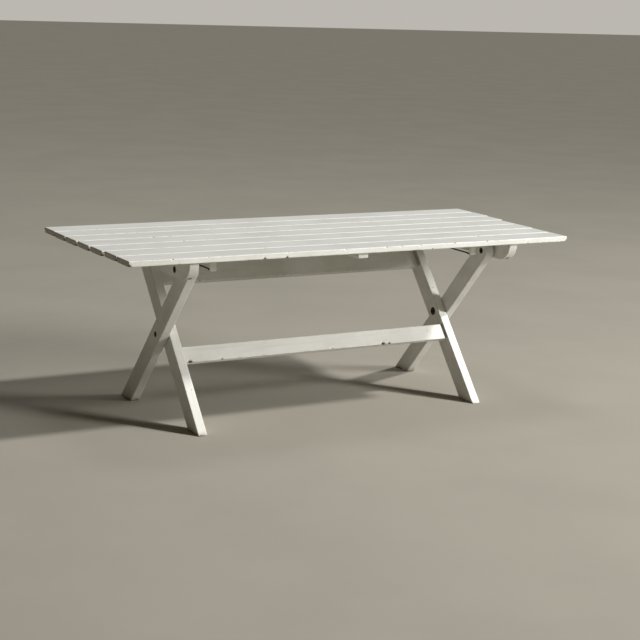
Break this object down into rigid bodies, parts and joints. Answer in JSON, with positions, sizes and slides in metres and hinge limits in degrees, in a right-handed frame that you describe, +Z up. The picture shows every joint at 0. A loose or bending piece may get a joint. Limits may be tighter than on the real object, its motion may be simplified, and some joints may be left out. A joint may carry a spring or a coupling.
{
  "type": "folding trestle table",
  "caption": "Folding slatted table on crossed sawbuck legs, with battens, rails, hinge bolts and iron stays.",
  "frame": {"origin": "on the floor, under the middle of the table top", "axes": "+X along the slats to the right, +Y to the back edge, +Z up"},
  "size_m": [2.036, 0.8428, 0.72],
  "materials": {
    "white_paint": "old off-white oil paint on pine, worn through at the edges",
    "bare_wood": "bare aged pine",
    "dark_iron": "dark rusted iron",
    "screw_steel": "dull steel"
  },
  "bodies": {
    "table_top": {"slat_1": "white_paint", "slat_2": "white_paint", "slat_3": "white_paint", "slat_4": "white_paint", "slat_5": "white_paint", "slat_6": "white_paint", "slat_7": "white_paint", "batten_left": "white_paint", "batten_centre": "white_paint", "batten_right": "white_paint", "slat_screw_left_1": "screw_steel", "slat_screw_left_2": "screw_steel", "slat_screw_left_3": "screw_steel", "slat_screw_left_4": "screw_steel", "slat_screw_left_5": "screw_steel", "slat_screw_left_6": "screw_steel", "slat_screw_left_7": "screw_steel", "slat_screw_centre_1": "screw_steel", "slat_screw_centre_2": "screw_steel", "slat_screw_centre_3": "screw_steel", "slat_screw_centre_4": "screw_steel", "slat_screw_centre_5": "screw_steel", "slat_screw_centre_6": "screw_steel", "slat_screw_centre_7": "screw_steel", "slat_screw_right_1": "screw_steel", "slat_screw_right_2": "screw_steel", "slat_screw_right_3": "screw_steel", "slat_screw_right_4": "screw_steel", "slat_screw_right_5": "screw_steel", "slat_screw_right_6": "screw_steel", "slat_screw_right_7": "screw_steel", "stay_block_left": "white_paint", "stay_eye_left": "dark_iron", "pivot_bolt_left": "dark_iron", "pivot_nut_left": "dark_iron", "pivot_spacer_left": "bare_wood", "stay_block_right": "white_paint", "stay_eye_right": "dark_iron", "pivot_bolt_right": "dark_iron", "pivot_nut_right": "dark_iron", "pivot_spacer_right": "bare_wood"},
    "outer_leg_left": {"outer_leg_left": "white_paint"},
    "outer_leg_right": {"outer_leg_right": "white_paint"},
    "inner_frame": {"inner_leg_left": "white_paint", "crossing_bolt_left": "dark_iron", "crossing_nut_left": "dark_iron", "crossing_washer_left": "dark_iron", "stay_stud_left": "dark_iron", "inner_leg_right": "white_paint", "crossing_bolt_right": "dark_iron", "crossing_nut_right": "dark_iron", "crossing_washer_right": "dark_iron", "stay_stud_right": "dark_iron", "upper_rail": "white_paint", "lower_stretcher": "white_paint"},
    "stay_left": {"stay_rod_left": "dark_iron"},
    "stay_right": {"stay_rod_right": "dark_iron"}
  },
  "joints": [
    {"name": "fold_left", "type": "hinge", "parent": "table_top", "child": "outer_leg_left", "pos_m": [-0.68275, -0.2674, 0.65], "axis": [1, 0, 0], "range_deg": [0, 46]},
    {"name": "fold_right", "type": "hinge", "parent": "table_top", "child": "outer_leg_right", "pos_m": [0.68275, -0.2674, 0.65], "axis": [1, 0, 0], "range_deg": [0, 46]},
    {"name": "crossing", "type": "hinge", "parent": "outer_leg_left", "child": "inner_frame", "pos_m": [-0.6625, 0.00973, 0.33694], "axis": [1, 0, 0], "range_deg": [-92, 0]},
    {"name": "stay_swing_left", "type": "hinge", "parent": "table_top", "child": "stay_left", "pos_m": [-0.6, -0.27, 0.643], "axis": [0, 0, 1], "range_deg": [-83, 0]},
    {"name": "stay_swing_right", "type": "hinge", "parent": "table_top", "child": "stay_right", "pos_m": [0.6, -0.27, 0.643], "axis": [0, 0, 1], "range_deg": [0, 83]}
  ],
  "couplings": [
    {"joint": "fold_right", "follows": "fold_left", "ratio": 1},
    {"joint": "crossing", "follows": "fold_left", "ratio": -2},
    {"joint": "stay_swing_left", "follows": "fold_left", "ratio": -1.8},
    {"joint": "stay_swing_right", "follows": "fold_left", "ratio": 1.8}
  ]
}
